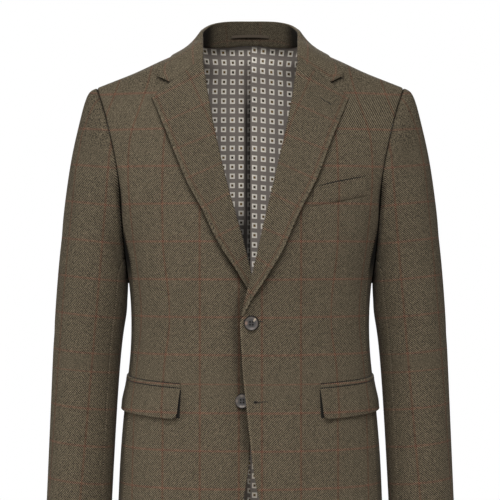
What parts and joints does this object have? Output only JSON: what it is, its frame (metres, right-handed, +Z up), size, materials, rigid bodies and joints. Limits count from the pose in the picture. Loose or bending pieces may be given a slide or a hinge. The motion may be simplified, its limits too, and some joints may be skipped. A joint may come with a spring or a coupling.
{
  "type": "blazer",
  "caption": "Tailored notch-lapel jacket of thin cloth walls, open at neck, cuffs and hem, with flap pockets, breast welt, patterned back lining and horn-look buttons.",
  "frame": {"origin": "middle of the neck, midway between the shoulders, where the wearer's shoulders hold the garment", "axes": "+Z up, +X to the wearer's left, -Y the way the front faces"},
  "size_m": [0.599, 0.2574, 0.7813],
  "materials": {
    "suiting": "fine brown-olive twill with a thin rust overcheck, matte",
    "lining": "taupe satin with small framed squares",
    "horn_button": "mottled grey-brown horn look, semi-gloss",
    "loop_tape": "dark brown woven tape"
  },
  "bodies": {
    "root": {"front_left": "suiting", "front_right": "suiting", "side_left": "suiting", "side_right": "suiting", "back_left": "suiting", "back_right": "suiting", "top_sleeve_left": "suiting", "top_sleeve_right": "suiting", "under_sleeve_left": "suiting", "under_sleeve_right": "suiting", "lapel_left": "suiting", "lapel_right": "suiting", "collar": "suiting", "breast_welt": "suiting", "jetting_left": "suiting", "jetting_right": "suiting", "flap_left": "suiting", "flap_right": "suiting", "back_lining_left": "lining", "back_lining_right": "lining", "button_upper": "horn_button", "button_lower": "horn_button", "hanger_loop": "loop_tape"}
  },
  "joints": []
}
